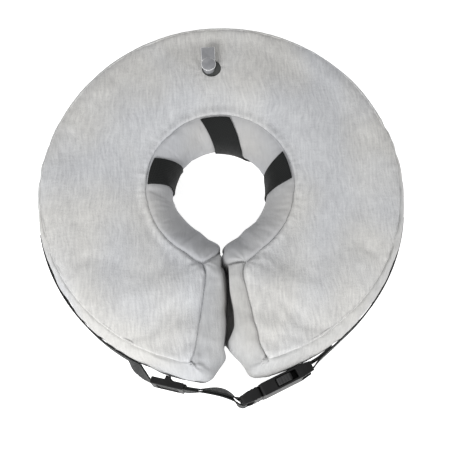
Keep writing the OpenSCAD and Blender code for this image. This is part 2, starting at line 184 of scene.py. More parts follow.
def front_point(i, j):
    share, across = i / STATIONS, crowd(j / ACROSS)
    point = plan_point(share, across)
    point.z = HIGH_SEAM + crown(share, across, TOP_Z - HIGH_SEAM, 48)
    return point * MM


def back_point(i, j):
    share, across = i / STATIONS, crowd(j / ACROSS)
    point = plan_point(share, across)
    point.z = max(LOW_SEAM - crown(share, across, 15, 40), 0.0)
    return point * MM


# %% [markdown]
# ## The gussets
#
# One band of cloth runs round the whole outline: along the outer edge, round each corner into
# the slit, and back along the neck. Between its two seams it bulges in an arc. The bulge is
# shallow outside, deep at the neck, and deepest at the lobes' ends, where the two lobes press
# against each other. So the band is a grid too: one direction follows the outline, the other
# follows the arc, and each station has its own depth and its own outward direction.

# %% Stations round the outline
SLIT_X = -2.0            # the line where the lobes meet
TOUCH = 0.3              # each lobe stops this short of it


def outward(turn_degrees):
    turn = math.radians(turn_degrees)
    return Vector((math.cos(turn), math.sin(turn), 0.0))


def build_stations():
    """The band's stations: seam point, outward direction, bulge depth and gusset."""
    stations = []
    for i in range(STATIONS + 1):
        share = i / STATIONS
        point = plan_point(share, 1)
        turn = math.degrees(math.atan2(point.y, point.x))
        from_end = min(i, STATIONS - i) * C_SWEEP / STATIONS
        depth = RING - OUTER_SEAM
        left_side = i > STATIONS / 2
        swell = (5.0 if left_side else 0.6) * (1 - smooth(from_end, 0, 13))
        angle = (turn + 360) % 360
        part = RIGHT if angle < 35 or angle > 260 and not left_side else LEFT
        if 35 <= angle <= 145:
            part = ZIP_UP
        stations.append((point, turn, depth + swell, part))
    # the left end: round the outer corner, along the end seam, round the neck corner
    stations += end_stations(side=-1)
    for i in reversed(range(STATIONS + 1)):
        share = i / STATIONS
        point = plan_point(share, 0)
        turn = math.degrees(math.atan2(point.y, point.x)) + 180
        tilt = math.sin(math.radians(turn - 180))
        depth = 22.6 - 3.4 * tilt + 1.8 * tilt * tilt
        stations.append((point, turn, depth, NECK))
    stations += reversed(end_stations(side=1))
    return stations


def end_stations(side):
    """Stations from the outer corner to the neck corner of one lobe."""
    share = 1 if side < 0 else 0
    outer, inner = plan_point(share, 1), plan_point(share, 0)
    face = 180 + END_TURN if side > 0 else -END_TURN    # the turn that looks into the slit
    outer_turn = math.degrees(math.atan2(outer.y, outer.x))
    neck_turn = math.degrees(math.atan2(inner.y, inner.x)) + 180
    if side > 0:
        outer_turn = (outer_turn + 360) % 360
        neck_turn = (neck_turn + 360) % 360
    part = RIGHT if side > 0 else LEFT
    start = 12.0 if side < 0 else 7.5
    stations = []
    for k in range(1, FAN):
        t = k / FAN
        turn = outer_turn + (face - outer_turn) * t
        depth = start + (17.5 - start if side < 0 else 14.5 - start) * smooth(t, 0.2, 1)
        stations.append((outer, turn, depth, part))
    for j in reversed(range(ACROSS + 1)):
        across = crowd(j / ACROSS)
        point = plan_point(share, across)
        radius = point.length
        if side < 0:
            depth = 30.0 - 12.5 * smooth(radius, 132, 158)
        else:
            depth = 29.0 - 14.5 * smooth(radius, 126, 156)
        depth = min(depth, 12 + radius * 0.2 + 6)
        stations.append((point, face, depth, part))
    for k in range(1, FAN):
        t = k / FAN
        turn = face + (neck_turn - face) * t
        cross = 0.45 if side < 0 else 0.2
        stations.append((inner, turn, 27.0, part if t < cross else NECK))
    return stations


# %% Shape the band
def arc_point(depth, t):
    """Reach and height on an arc between the seams; t runs 0 to 1 from high to low."""
    radius = (HALF_GAP ** 2 + depth ** 2) / (2 * depth)
    half = math.asin(min(HALF_GAP / radius, 1.0))
    if depth > HALF_GAP:
        half = math.pi - half
    turn = half * (1 - 2 * t)
    return radius * (math.cos(turn) - math.cos(half)), MID_Z + radius * math.sin(turn)


def soft_floor(value, floor, give=1.6):
    """value, kept above floor, with a rounded corner between the two."""
    over = value - floor
    return floor + give * math.log1p(math.exp(min(over / give, 40.0)))


stations = build_stations()


def band_point(i, j):
    point, turn, depth, part = stations[i % len(stations)]
    reach, height = arc_point(depth, crowd(j / ROWS))
    placed = point + outward(turn) * reach
    placed.z = height
    if placed.y < -30 and abs(point.x) < 60:
        up = smooth(height, 36, 62)
        wedge = smooth(-placed.y, 58, 118) * (1 - smooth(-placed.y, 120, 146))
        if point.x > 0:
            placed.x = soft_floor(placed.x, SLIT_X + TOUCH + 8.5 * wedge * up)
        else:
            placed.x = -soft_floor(-placed.x, -SLIT_X + TOUCH)
    return placed * MM


ZIP_OPEN = 5.2           # half the height of the band left open for the zip


def band_label(i, j):
    part = stations[i % len(stations)][3]
    if part != ZIP_UP:
        return part
    middle = arc_point(6.5, crowd((j + 0.5) / ROWS))[1]
    if abs(middle - MID_Z) < ZIP_OPEN:
        return ZIP_GAP
    return ZIP_UP if middle > MID_Z else ZIP_LOW


# %% Join panels and band into one closed cover
def build_cover():
    bm = bmesh.new()
    bent_grid(bm, STATIONS, ACROSS, front_point, lambda i, j: FRONT)
    bent_grid(bm, STATIONS, ACROSS, back_point, lambda i, j: BACK)
    bent_grid(bm, len(stations), ROWS, band_point, band_label)
    bmesh.ops.remove_doubles(bm, verts=bm.verts, dist=0.05 * MM)
    bmesh.ops.dissolve_degenerate(bm, edges=bm.edges, dist=0.01 * MM)
    bmesh.ops.recalc_face_normals(bm, faces=bm.faces)
    open_edges = sum(1 for edge in bm.edges if not edge.is_manifold)
    print(f"cover: {len(bm.verts)} points, {open_edges} open edges")
    return bm


def new_object(name, bm):
    mesh = bpy.data.meshes.new(name)
    bm.to_mesh(mesh)
    bm.free()
    piece = bpy.data.objects.new(name, mesh)
    bpy.context.scene.collection.objects.link(piece)
    return piece


cover = new_object("cover_whole", build_cover())
for _ in range(ZIP_GAP + 1):
    cover.data.materials.append(None)

# %% [markdown]
# ## Blow it up
#
# Cloth that is held along its seams and pushed from inside wrinkles by itself, because each
# panel is cut a little larger than the space between its seams. Painting those wrinkles by
# hand never looks as right as letting the cloth solver find them. The seams, the zip's
# opening and the flat underside are pinned, and no point may travel more than a few
# millimetres, so the cover keeps the size that the frame gives it.

# %% Cloth under pressure
def seam_points(bm):
    """Every point on an edge between two different cloths."""
    return {v for e in bm.edges if len({f.material_index for f in e.link_faces}) > 1
            for v in e.verts}


def inflate(piece, frames=16, cap=4.5 * MM):
    bm = bmesh.new()
    bm.from_mesh(piece.data)
    held = {v.index for v in seam_points(bm)}
    held |= {v.index for f in bm.faces if f.material_index == ZIP_GAP for v in f.verts}
    held |= {v.index for v in bm.verts if v.co.z < 0.3 * MM}
    start = np.array([v.co for v in bm.verts])
    bm.free()
    group = piece.vertex_groups.new(name="held")
    group.add(sorted(held), 1.0, "REPLACE")
    cloth = piece.modifiers.new("air", "CLOTH")
    settings = cloth.settings
    settings.quality = 4
    settings.mass = 0.2
    settings.tension_stiffness = 22
    settings.compression_stiffness = 22
    settings.shear_stiffness = 8
    settings.bending_stiffness = 0.15
    settings.vertex_group_mass = "held"
    settings.shrink_min = -0.016
    settings.use_pressure = True
    settings.uniform_pressure_force = 4.0
    settings.effector_weights.gravity = 0.0
    cloth.collision_settings.use_collision = False
    cloth.point_cache.frame_end = frames
    scene = bpy.context.scene
    for frame_number in range(1, frames + 1):
        scene.frame_set(frame_number)
    evaluated = piece.evaluated_get(bpy.context.evaluated_depsgraph_get())
    end = np.array([v.co for v in evaluated.data.vertices])
    move = end - start
    length = np.linalg.norm(move, axis=1, keepdims=True)
    move *= np.minimum(1.0, cap / np.maximum(length, 1e-9))
    piece.modifiers.remove(cloth)
    piece.vertex_groups.remove(group)
    piece.data.vertices.foreach_set("co", (start + move).astype(np.float32).ravel())
    piece.data.update()
    scene.frame_set(1)
    print(f"inflated: mean move {length.mean() / MM:.2f} mm, largest {length.max() / MM:.2f} mm")


inflate(cover)

# %% [markdown]
# ## Sew it
#
# The solver's mesh is too coarse for a crease that is only two millimetres wide, so the cover
# is subdivided once. Then every point looks up its nearest point on a seam. Close to the seam
# it is drawn inwards, which makes the crease, and a little farther out it rises and falls with
# a noise that is read at the seam, so each pucker runs square away from the stitching.

# %% Refine and sculpt
def refine(piece):
    finer = piece.modifiers.new("finer", "SUBSURF")
    finer.levels = 1
    finer.render_levels = 1
    evaluated = piece.evaluated_get(bpy.context.evaluated_depsgraph_get())
    mesh = bpy.data.meshes.new_from_object(evaluated)
    piece.modifiers.clear()
    piece.data = mesh


def corner_points():
    """The four corners of the front panel, where two seams and a gusset's fold meet."""
    return [
        (Vector((*plan_point(share, across)[:2], HIGH_SEAM)) * MM, depth)
        for share in (0, 1)
        for across, depth in ((1, 2.6), (0, 1.0))
    ]


def wedge_room(y):
    """How wide the slit gapes over the touching walls, in mm, y mm from the ring's middle."""
    room = 5.5 * smooth(-y, 52, 66) + 2.5 * smooth(-y, 90, 112)
    return room * (1 - smooth(-y, 122, 140))


WEDGE_FLOOR = 31.0       # the walls touch below this height and gape above it


def lean_wall(co):
    """Moves a point of the right lobe's wall: away above the touching line, closer below it."""
    x, y, z = co.x / MM, co.y / MM, co.z / MM
    room = wedge_room(y)
    if x < SLIT_X - 2 or z > 67 or room < 0.1:
        return
    wall = SLIT_X + TOUCH + room * smooth(z, WEDGE_FLOOR, 37)
    if z > WEDGE_FLOOR:
        co.x = max(x, wall) * MM
    under = smooth(z, 13, 19) * (1 - smooth(z, WEDGE_FLOOR, 35)) * min(room / 3, 1.0)
    co.x += (min(co.x / MM, SLIT_X - 1.0) * MM - co.x) * under


PLUG_R = 6.7             # the plug's head; its box starts this far in front of its middle


def sculpt(piece):
    bm = bmesh.new()
    bm.from_mesh(piece.data)
    bm.normal_update()
    seam = sorted(seam_points(bm), key=lambda v: v.index)
    tree = kdtree.KDTree(len(seam))
    for k, vert in enumerate(seam):
        tree.insert(vert.co, k)
    tree.balance()
    corners = corner_points()
    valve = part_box("valve_plug")
    valve_at = Vector(((valve[0].x + valve[1].x) / 2, valve[0].y + PLUG_R * MM, TOP_Z * MM))
    moves = {}
    for vert in bm.verts:
        stitched, _, gap = tree.find(vert.co)
        gap /= MM
        pull = 1.9 * math.exp(-(gap / 1.5) ** 2) + 0.5 * math.exp(-(gap / 5.0) ** 2)
        ripple = noise.noise(stitched * 210) * math.exp(-gap / 7.0) * 1.0
        ripple *= 1 - math.exp(-(gap / 2.0) ** 2)
        slow = 0.5 * noise.noise(vert.co * 28)
        lift = ripple + slow - pull
        for corner_at, depth in corners:
            reach = (vert.co - corner_at).length / MM
            if reach < 40:
                turn = math.atan2(vert.co.y - corner_at.y, vert.co.x - corner_at.x)
                fan = math.sin(9 * turn + 1.3) * math.exp(-((reach - 9) / 8.0) ** 2)
                lift -= depth * math.exp(-(reach / 4.0) ** 2) - 0.26 * fan
        reach = (vert.co - valve_at).length / MM
        if reach < 40:
            turn = math.atan2(vert.co.y - valve_at.y, vert.co.x - valve_at.x)
            lift -= 2.0 * math.exp(-(reach / 13.0) ** 2)
            lift += 0.22 * math.sin(11 * turn + 0.25 * reach) * math.exp(-((reach - 15) / 6.0) ** 2)
        if vert.co.y < -0.075 and abs(vert.co.x) < 0.034 and abs(vert.normal.z) < 0.93:
            fold = noise.noise(Vector((vert.co.x * 70, vert.co.y * 75, vert.co.z * 9)))
            lift += 1.1 * fold * (1 - math.exp(-(gap / 7.0) ** 2))
        if vert.co.z < 0.6 * MM:
            lift = min(lift, 0.0) * 0.2
        moves[vert] = vert.normal * lift * MM
    for vert, move in moves.items():
        vert.co += move
        vert.co.z = max(vert.co.z, 0.0)
        if all(face.material_index == RIGHT for face in vert.link_faces):
            lean_wall(vert.co)
    bm.to_mesh(piece.data)
    bm.free()
    print(f"sculpted {len(moves)} points, {len(seam)} on seams")


refine(cover)
sculpt(cover)

# %% [markdown]
# ## Plush
#
# Short plush is a dense pile that all leans one way. It scatters light, so it has almost no
# shine, but it glows a little at grazing angles. Where fingers have brushed it the lean
# changes and a faint streak shows. Real hair on this many square centimetres would cost
# millions of strands and no strand would be seen, so the pile is drawn in the material: long
# thin noise for the streaks, fine noise for the tufts, and the shader's own sheen.

# %% Material helpers
def material(name, slot_name):
    made = bpy.data.materials.new(name)
    made.use_nodes = True
    made["slot"] = slot_name
    return made, made.node_tree, made.node_tree.nodes["Principled BSDF"]


def add_node(tree, kind, **settings):
    node = tree.nodes.new(kind)
    for key, value in settings.items():
        if key in node.inputs:
            node.inputs[key].default_value = value
        else:
            setattr(node, key, value)
    return node


def stretched_noise(tree, scale, turn=(0, 0, 0), detail=3.0, bend=0.0, coordinate="Object"):
    """Noise whose three scales are in 1/m; returns its value output."""
    coords = add_node(tree, "ShaderNodeTexCoord")
    source = coords.outputs[coordinate]
    if bend:
        slow = add_node(tree, "ShaderNodeTexNoise", Scale=22.0)
        tree.links.new(source, slow.inputs["Vector"])
        mixed = add_node(tree, "ShaderNodeVectorMath", operation="MULTIPLY_ADD")
        mixed.inputs[1].default_value = (bend, bend, bend)
        tree.links.new(slow.outputs["Color"], mixed.inputs[0])
        tree.links.new(source, mixed.inputs[2])
        source = mixed.outputs["Vector"]
    place = add_node(tree, "ShaderNodeMapping")
    place.inputs["Scale"].default_value = scale
    place.inputs["Rotation"].default_value = turn
    tree.links.new(source, place.inputs["Vector"])
    grain = add_node(tree, "ShaderNodeTexNoise", Scale=1.0, Detail=detail, Roughness=0.55)
    tree.links.new(place.outputs["Vector"], grain.inputs["Vector"])
    return grain.outputs["Fac"]


def blend_values(tree, first, second, share):
    mix = add_node(tree, "ShaderNodeMix", data_type="FLOAT")
    mix.inputs[0].default_value = share
    tree.links.new(first, mix.inputs[2])
    tree.links.new(second, mix.inputs[3])
    return mix.outputs[0]


def colour_ramp(tree, value, low, high, start=0.3, end=0.7):
    ramp = add_node(tree, "ShaderNodeValToRGB")
    ramp.color_ramp.elements[0].position = start
    ramp.color_ramp.elements[1].position = end
    ramp.color_ramp.elements[0].color = (*low, 1)
    ramp.color_ramp.elements[1].color = (*high, 1)
    tree.links.new(value, ramp.inputs["Fac"])
    return ramp.outputs["Color"]


def bump(tree, shader, height, strength, distance):
    made = add_node(tree, "ShaderNodeBump", Strength=strength, Distance=distance)
    tree.links.new(height, made.inputs["Height"])
    tree.links.new(made.outputs["Normal"], shader.inputs["Normal"])
    return made


# %% [markdown]
# ## Three naps, and painted shade on the gussets
#
# The panels have the longest pile, the outer gussets a shorter one, and the neck gusset is
# brushed nearly flat by the animal's neck. One recipe makes all three. Only its tones and the
# depth of its pile change, so they read as one bolt of cloth. The depths of pile are the cloth's
# own, but the gussets' darker tones are painted shade, for sides that face away from the lamps.

# %% Plush in three degrees of nap
def plush(name, light, dark, nap, distance):
    made, tree, shader = material(name, "plush")
    streaks = stretched_noise(tree, (520, 85, 85), bend=0.013, detail=3.0)
    crossed = stretched_noise(tree, (130, 480, 110), bend=0.012, detail=2.0)
    tufts = stretched_noise(tree, (1500, 1000, 1000), detail=2.0)
    clouds = stretched_noise(tree, (26, 17, 22), detail=2.0)
    lean = blend_values(tree, streaks, crossed, 0.22)
    pile = blend_values(tree, lean, tufts, 0.28)
    tone = blend_values(tree, pile, clouds, 0.25)
    reach = 0.13 / nap
    colour = colour_ramp(tree, tone, dark, light, 0.5 - reach, 0.5 + reach)
    warmth = stretched_noise(tree, (14, 11, 14), detail=1.0)
    tint = colour_ramp(tree, warmth, (0.955, 0.97, 1.0), (1.0, 0.99, 0.965), 0.38, 0.62)
    mixed = add_node(tree, "ShaderNodeMix", data_type="RGBA", blend_type="MULTIPLY")
    mixed.inputs[0].default_value = 1.0
    tree.links.new(colour, mixed.inputs[6])
    tree.links.new(tint, mixed.inputs[7])
    tree.links.new(mixed.outputs[2], shader.inputs["Base Color"])
    bump(tree, shader, pile, 0.75 * nap, distance)
    shader.inputs["Roughness"].default_value = 0.92
    shader.inputs["Specular IOR Level"].default_value = 0.18
    shader.inputs["Sheen Weight"].default_value = 0.15
    shader.inputs["Sheen Roughness"].default_value = 0.42
    shader.inputs["Sheen Tint"].default_value = (0.96, 0.97, 1.0, 1)
    return made


panel_plush = plush("plush_nap", (0.64, 0.64, 0.635), (0.455, 0.455, 0.458), 1.0, 0.0013)
# painted shade: the gusset and neck copies get darker tones than the panels' plush; their shorter,
# flatter nap is real
gusset_plush_painted_shade = plush("plush_gusset_painted_shade", (0.51, 0.51, 0.505), (0.385, 0.385, 0.385), 0.8, 0.0010)
neck_plush_painted_shade = plush("plush_brushed_flat_painted_shade", (0.48, 0.48, 0.483), (0.39, 0.39, 0.394), 0.6, 0.0008)
print("plush:", [cloth.name for cloth in (panel_plush, gusset_plush_painted_shade, neck_plush_painted_shade)])

# %% [markdown]
# ## Cut the cover into its pieces
#
# The real cover is cut from separate cloths, so the finished shell is parted along the same
# seams. Each piece gets a thickness on its inner side only, because its outer side is already
# where it should be.

# %% Part the panels
CLOTH_THICK = 1.3
VALVE_HOLE = 8.9         # radius of the hole round the valve
HOLE_ASIDE = 2.6         # the hole sits this far to the right of the valve's middle
HOLE_CUTS = 24


def open_valve_hole(bm):
    """Cuts the round hole that the valve stands in and turns its edge down."""
    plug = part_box("valve_plug")
    centre = Vector(((plug[0].x + plug[1].x) / 2 + HOLE_ASIDE * MM, plug[0].y + PLUG_R * MM, 0))

    def away(vert):
        return math.hypot(vert.co.x - centre.x, vert.co.y - centre.y) / MM

    for turn in range(HOLE_CUTS):
        angle = 2 * math.pi * turn / HOLE_CUTS
        flat = Vector((math.cos(angle), math.sin(angle), 0))
        near = [f for f in bm.faces if all(away(v) < VALVE_HOLE + 12 for v in f.verts)]
        geom = set(near)
        for face in near:
            geom.update(face.verts)
            geom.update(face.edges)
        bmesh.ops.bisect_plane(bm, geom=list(geom), plane_co=centre + flat * VALVE_HOLE * MM,
                               plane_no=flat)
    inside = [f for f in bm.faces if all(away(v) < VALVE_HOLE * 1.012 for v in f.verts)]
    bmesh.ops.delete(bm, geom=inside, context="FACES")
    rim = [e for e in bm.edges if e.is_boundary and away(e.verts[0]) < VALVE_HOLE * 1.1
           and away(e.verts[1]) < VALVE_HOLE * 1.1]
    turned = bmesh.ops.extrude_edge_only(bm, edges=rim)["geom"]
    for vert in turned:
        if isinstance(vert, bmesh.types.BMVert):
            vert.co.z -= 2.2 * MM
            vert.co.x += (centre.x - vert.co.x) * 0.06
            vert.co.y += (centre.y - vert.co.y) * 0.06
    print(f"valve hole: {len(rim)} edges round it")


def part_cover(piece, part, name, finish, nodes):
    bm = bmesh.new()
    bm.from_mesh(piece.data)
    others = [f for f in bm.faces if f.material_index != part]
    bmesh.ops.delete(bm, geom=others, context="FACES")
    if part == FRONT:
        open_valve_hole(bm)
    for face in bm.faces:
        face.material_index = 0
        face.smooth = True
    made = new_object(name, bm)
    made.data.materials.clear()
    made.data.materials.append(finish)
    wall = made.modifiers.new("cloth_thickness", "SOLIDIFY")
    wall.thickness = CLOTH_THICK * MM
    wall.offset = -1.0
    wall.use_even_offset = False
    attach(made, "collar")
    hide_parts(*nodes)
    print(f"{name}: {len(made.data.polygons)} faces")
    return made


part_cover(cover, FRONT, "front_panel_plush", panel_plush, ["top_panel"])
part_cover(cover, BACK, "back_panel_plush", panel_plush, ["bottom_panel"])
part_cover(cover, NECK, "neck_gusset_plush", neck_plush_painted_shade, ["neck_gusset"])
part_cover(cover, RIGHT, "outer_gusset_right_plush", gusset_plush_painted_shade, ["outer_gusset_right"])
part_cover(cover, LEFT, "outer_gusset_left_plush", gusset_plush_painted_shade, ["outer_gusset_left"])
part_cover(cover, ZIP_UP, "zip_gusset_upper_plush", gusset_plush_painted_shade, ["zip_gusset_upper"])
part_cover(cover, ZIP_LOW, "zip_gusset_lower_plush", gusset_plush_painted_shade, ["zip_gusset_lower"])

# %% [markdown]
# ## The bladder
#
# Inside the cover is a welded vinyl bladder. Only a sliver of it can be seen, round the valve
# and through the zip's gap, but it has to be there and it has to stay inside. The simplest
# bladder that fits is the cover's own shape, smoothed and drawn inwards. Its film is painted
# near black, darker than clear vinyl would be on a table, as painted shade for the dark of the
# hole. On the right of the slit it keeps away from the wall that leans back there.

# %% Draw the bladder in from the cover
BLADDER_GAP = 6.4        # how far the bladder is drawn in from the cover
SLIT_GAP = 15            # how far its right end keeps from the slit


def shade_painted_film():
    made, tree, shader = material("bladder_vinyl_painted_shade", "bladder_film")
    cloud = stretched_noise(tree, (60, 60, 60), detail=3.0)
    # painted shade: the film is near black so that the hole and the zip's gap read dark
    colour = colour_ramp(tree, cloud, (0.035, 0.037, 0.036), (0.07, 0.073, 0.07))
    tree.links.new(colour, shader.inputs["Base Color"])
    bump(tree, shader, cloud, 0.4, 0.002)
    shader.inputs["Roughness"].default_value = 0.16
    shader.inputs["Coat Weight"].default_value = 0.4
    return made


def build_bladder():
    bm = build_cover()
    for _ in range(6):
        bmesh.ops.smooth_vert(bm, verts=bm.verts, factor=0.5, use_axis_x=True, use_axis_y=True,
                              use_axis_z=True)
    bm.normal_update()
    for vert in bm.verts:
        right_of_slit = vert.co.x / MM > SLIT_X and vert.co.y / MM < -44
        vert.co -= vert.normal * BLADDER_GAP * MM
        if right_of_slit:
            vert.co.x = max(vert.co.x, (SLIT_X + SLIT_GAP) * MM)
    for face in bm.faces:
        face.material_index = 0
        face.smooth = True
    made = new_object("bladder_shell", bm)
    made.data.materials.append(shade_painted_film())
    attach(made, "collar")
    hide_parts("bladder")
    print(f"bladder: {len(made.data.polygons)} faces, drawn in {BLADDER_GAP} mm")


build_bladder()
bpy.data.objects.remove(cover)

# %% [markdown]
# ## Webbing
#
# Polypropylene webbing is woven flat: thick ribs of weft run across it and the warp binds
# them in narrow lengthwise columns. The weave has to turn with the strap, so every strip
# carries its own map, with millimetres along it as U and millimetres across it as V, and the
# material draws ribs and columns from those two numbers.

# %% Webbing material
def arithmetic(tree, operation, first, second=None):
    node = add_node(tree, "ShaderNodeMath", operation=operation)
    for socket, value in zip(node.inputs, (first, second)):
        if value is None:
            continue
        if isinstance(value, (int, float)):
            socket.default_value = value
        else:
            tree.links.new(value, socket)
    return node.outputs[0]


def along_and_over(tree):
    """The strip's own map: millimetres along it and millimetres across it."""
    coords = add_node(tree, "ShaderNodeUVMap")
    parts = add_node(tree, "ShaderNodeSeparateXYZ")
    tree.links.new(coords.outputs["UV"], parts.inputs["Vector"])
    return parts.outputs["X"], parts.outputs["Y"]


def ridges(tree, value, rate):
    """A row of rounded ridges, one for each half turn of value times rate."""
    turned = arithmetic(tree, "MULTIPLY", value, rate)
    return arithmetic(tree, "ABSOLUTE", arithmetic(tree, "SINE", turned))


def webbing_weave(name):
    made, tree, shader = material(name, "webbing")
    along, over = along_and_over(tree)
    column = arithmetic(tree, "MULTIPLY", over, 0.62)
    shift = arithmetic(tree, "MULTIPLY", arithmetic(tree, "FLOOR", column), 0.5)
    rib = arithmetic(tree, "ADD", arithmetic(tree, "MULTIPLY", along, 0.71), shift)
    rounded_column = arithmetic(tree, "POWER", ridges(tree, column, math.pi), 0.5)
    weave = arithmetic(tree, "MULTIPLY", ridges(tree, rib, math.pi), rounded_column)
    fibres = stretched_noise(tree, (3.0, 0.9, 1.0), coordinate="UV", detail=2.0)
    height = blend_values(tree, weave, fibres, 0.25)
    # painted shade: the colour follows the weave's height and is darker in its hollows; the rib
    # pattern itself is the webbing's own
    colour = colour_ramp(tree, height, (0.004, 0.0045, 0.0045), (0.017, 0.0185, 0.018), 0.1, 0.9)
    tree.links.new(colour, shader.inputs["Base Color"])
    bump(tree, shader, height, 0.8, 0.0004)
    shader.inputs["Roughness"].default_value = 0.7
    shader.inputs["Specular IOR Level"].default_value = 0.2
    shader.inputs["Sheen Weight"].default_value = 0.03
    return made


webbing = webbing_weave("webbing_weave")
WEB_WIDTH = 25.0
WEB_THICK = 1.3
LOOP_LENGTH = 95.0       # nominal, for the weave's scale along a collar loop
print(f"webbing: {WEB_WIDTH:.0f} x {WEB_THICK} mm")

# %% [markdown]
# ## A strip of webbing
#
# Every strip here is a flat grid that a function puts in place, point by point. A curve with a
# flat bevel would do as well, but it can't twist one edge without the other, and the closing
# strap does just that. Thickness and the rounded selvedge are left to two modifiers.

# %% A strip that any function can place
def strip(name, place, along_mm, steps, finish, nodes, body, offset, width=WEB_WIDTH,
          thick=WEB_THICK):
    """A woven strip: place(s, w) puts each point, w from -0.5 to 0.5 across it."""
    bm = bmesh.new()
    across = 10
    made = bmesh.ops.create_grid(bm, x_segments=steps, y_segments=across, size=0.5)
    share = {v: (v.co.x + 0.5, v.co.y) for v in made["verts"]}
    uv = bm.loops.layers.uv.new("weave")
    for face in bm.faces:
        face.smooth = True
        for loop in face.loops:
            s, w = share[loop.vert]
            loop[uv].uv = (s * along_mm, (w + 0.5) * width)
    for vert, (s, w) in share.items():
        vert.co = place(s, w)
    piece = new_object(name, bm)
    piece.data.materials.append(finish)
    wall = piece.modifiers.new("thickness", "SOLIDIFY")
    wall.thickness = thick * MM
    wall.offset = offset
    edge = piece.modifiers.new("selvedge", "BEVEL")
    edge.width = 0.27 * thick * MM
    edge.segments = 2
    edge.limit_method = "ANGLE"
    edge.angle_limit = math.radians(50)
    if body:
        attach(piece, body)
    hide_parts(*nodes)
    return piece


# %% [markdown]
# ## Collar loops
#
# The three dark bands over the neck gusset take the animal's own collar. Each is sewn into
# the upper and the lower seam and lies on the swollen gusset between them, so its shape is
# the gusset's shape. It is found by looking outwards from the middle of the neck opening
# until the gusset is met, which keeps the band on the cloth whatever the solver did to it.

# %% Lay the loops on the neck gusset
# turn of a loop's two edges round the ring, at the seam and where the opening is narrowest
LOOP_TURNS = {
    "collar_loop_top": ((103.2, 80.2), (94.0, 61.5)),
    "collar_loop_left": ((176.3, 153.2), (171.0, 139.2)),
    "collar_loop_right": ((27.4, 3.6), (21.2, -5.9)),
}


def lay_loop(node, turns):
    gusset = bpy.data.objects["neck_gusset_plush"]
    bm = bmesh.new()
    bm.from_mesh(gusset.data)
    tree = BVHTree.FromBMesh(bm)
    bm.free()
    at_seam, at_waist = turns

    def place(s, w):
        """Looks in at the gusset from outside, round the half circle that it swells to."""
        share = w + 0.5
        seam = at_seam[0] + (at_seam[1] - at_seam[0]) * share
        waist = at_waist[0] + (at_waist[1] - at_waist[0]) * share
        round_gusset = math.radians(89 - 178 * s)
        lean = math.copysign(1 - math.cos(round_gusset), round_gusset)
        turn = math.radians(waist + (seam - waist) * lean)
        radial = Vector((math.cos(turn), math.sin(turn), 0))
        out = Vector((0, 0, math.sin(round_gusset))) - radial * math.cos(round_gusset)
        end = end_turn(70)
        seam_radius = neck_radius(((math.degrees(turn) + 90) % 360 - end) / (360 - 2 * end))
        middle = (radial * (seam_radius - 0.6) + Vector((0, 0, MID_Z))) * MM
        hit, normal, _, _ = tree.ray_cast(middle + out * 60 * MM, -out)
        if hit is None:
            hit = middle + out * 20 * MM
            print("missed the gusset", node, s, w)
        return hit + out * 0.5 * MM

    piece = strip(node + "_webbing", place, LOOP_LENGTH, 60, webbing, [node], "collar", 1.0)
    bm = bmesh.new()
    bm.from_mesh(piece.data)
    for _ in range(3):
        inner = [v for v in bm.verts if not v.is_boundary]
        bmesh.ops.smooth_vert(bm, verts=inner, factor=0.5, use_axis_x=True, use_axis_y=True,
                              use_axis_z=True)
    bm.normal_update()
    facing = sum(f.normal.x * f.calc_center_median().x + f.normal.y * f.calc_center_median().y
                 for f in bm.faces)
    if facing > 0:
        bmesh.ops.reverse_faces(bm, faces=bm.faces)
    bm.to_mesh(piece.data)
    bm.free()
    print(f"{node}: {len(piece.data.polygons)} faces on the neck gusset")


for loop_node, loop_turns in LOOP_TURNS.items():
    lay_loop(loop_node, loop_turns)

# %% [markdown]
# ## Closing strap
#
# The strap is two lengths of webbing sewn to the outer gusset, standing on edge. The left one
# runs through the slider, round the plug's bar and back to the slider's middle bar, where it
# is sewn to itself. The right one is sewn round the socket's bar. Each is one path in plan
# with a constant width upwards, so it is drawn as a line, rounded, and given its width.

# %% Where the hardware stands
def joint(name):
    return next(j for j in record["behaviour"]["joints"] if j["name"] == name)


release = joint("buckle_release")["axis"]
BUCKLE_ALONG = Vector((-release[0], -release[1], 0)).normalized()
arm_root = joint("arm_upper_squeeze")["pos_m"]
ARM_BACK = 13.8          # from the arms' roots forward to the buckle's middle
BUCKLE_AT = Vector((arm_root[0], arm_root[1], 0)) / MM + BUCKLE_ALONG * ARM_BACK
STRAP_LOW = corner("strap_right", 2, high=False)
STRAP_Z = STRAP_LOW + WEB_WIDTH / 2
BAR_X = 30.8             # from the buckle's middle to either webbing bar
GLIDE_ALONG = Vector((*joint("strap_adjust")["axis"][:2], 0)).normalized()
slider_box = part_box("strap_slider")
slider_middle = (slider_box[0] + slider_box[1]) / 2 / MM
GLIDE_ACROSS = Vector((-GLIDE_ALONG.y, GLIDE_ALONG.x, 0))
SLIDER_AT = 14           # where the slider rests, from the start of its straight way
SLIDER_OFF = 0.35        # the slider's middle stands this far inside the webbing's line
GLIDE_FROM = (Vector((slider_middle.x, slider_middle.y, 0)) - GLIDE_ALONG * SLIDER_AT
              - GLIDE_ACROSS * SLIDER_OFF)
plug_bar = BUCKLE_AT - BUCKLE_ALONG * BAR_X
socket_bar = BUCKLE_AT + BUCKLE_ALONG * BAR_X
GLIDE_REACH = (plug_bar - GLIDE_FROM).dot(GLIDE_ALONG)
print(f"slider to plug bar: {GLIDE_REACH:.1f} mm")

# %% [markdown]
# ## Room for the slider
#
# The strap's slider stands proud of the webbing on both sides, so a full lobe would be in its
# way. A real lobe gives where it is pressed. Cloth could be run against the slider, but its
# whole way has to be clear, so the gusset's points are moved in along that way, with the ends
# of the dent eased out.

# %% Make room for the slider
SLIDER_ROOM = 8.5        # clear depth behind the webbing's line


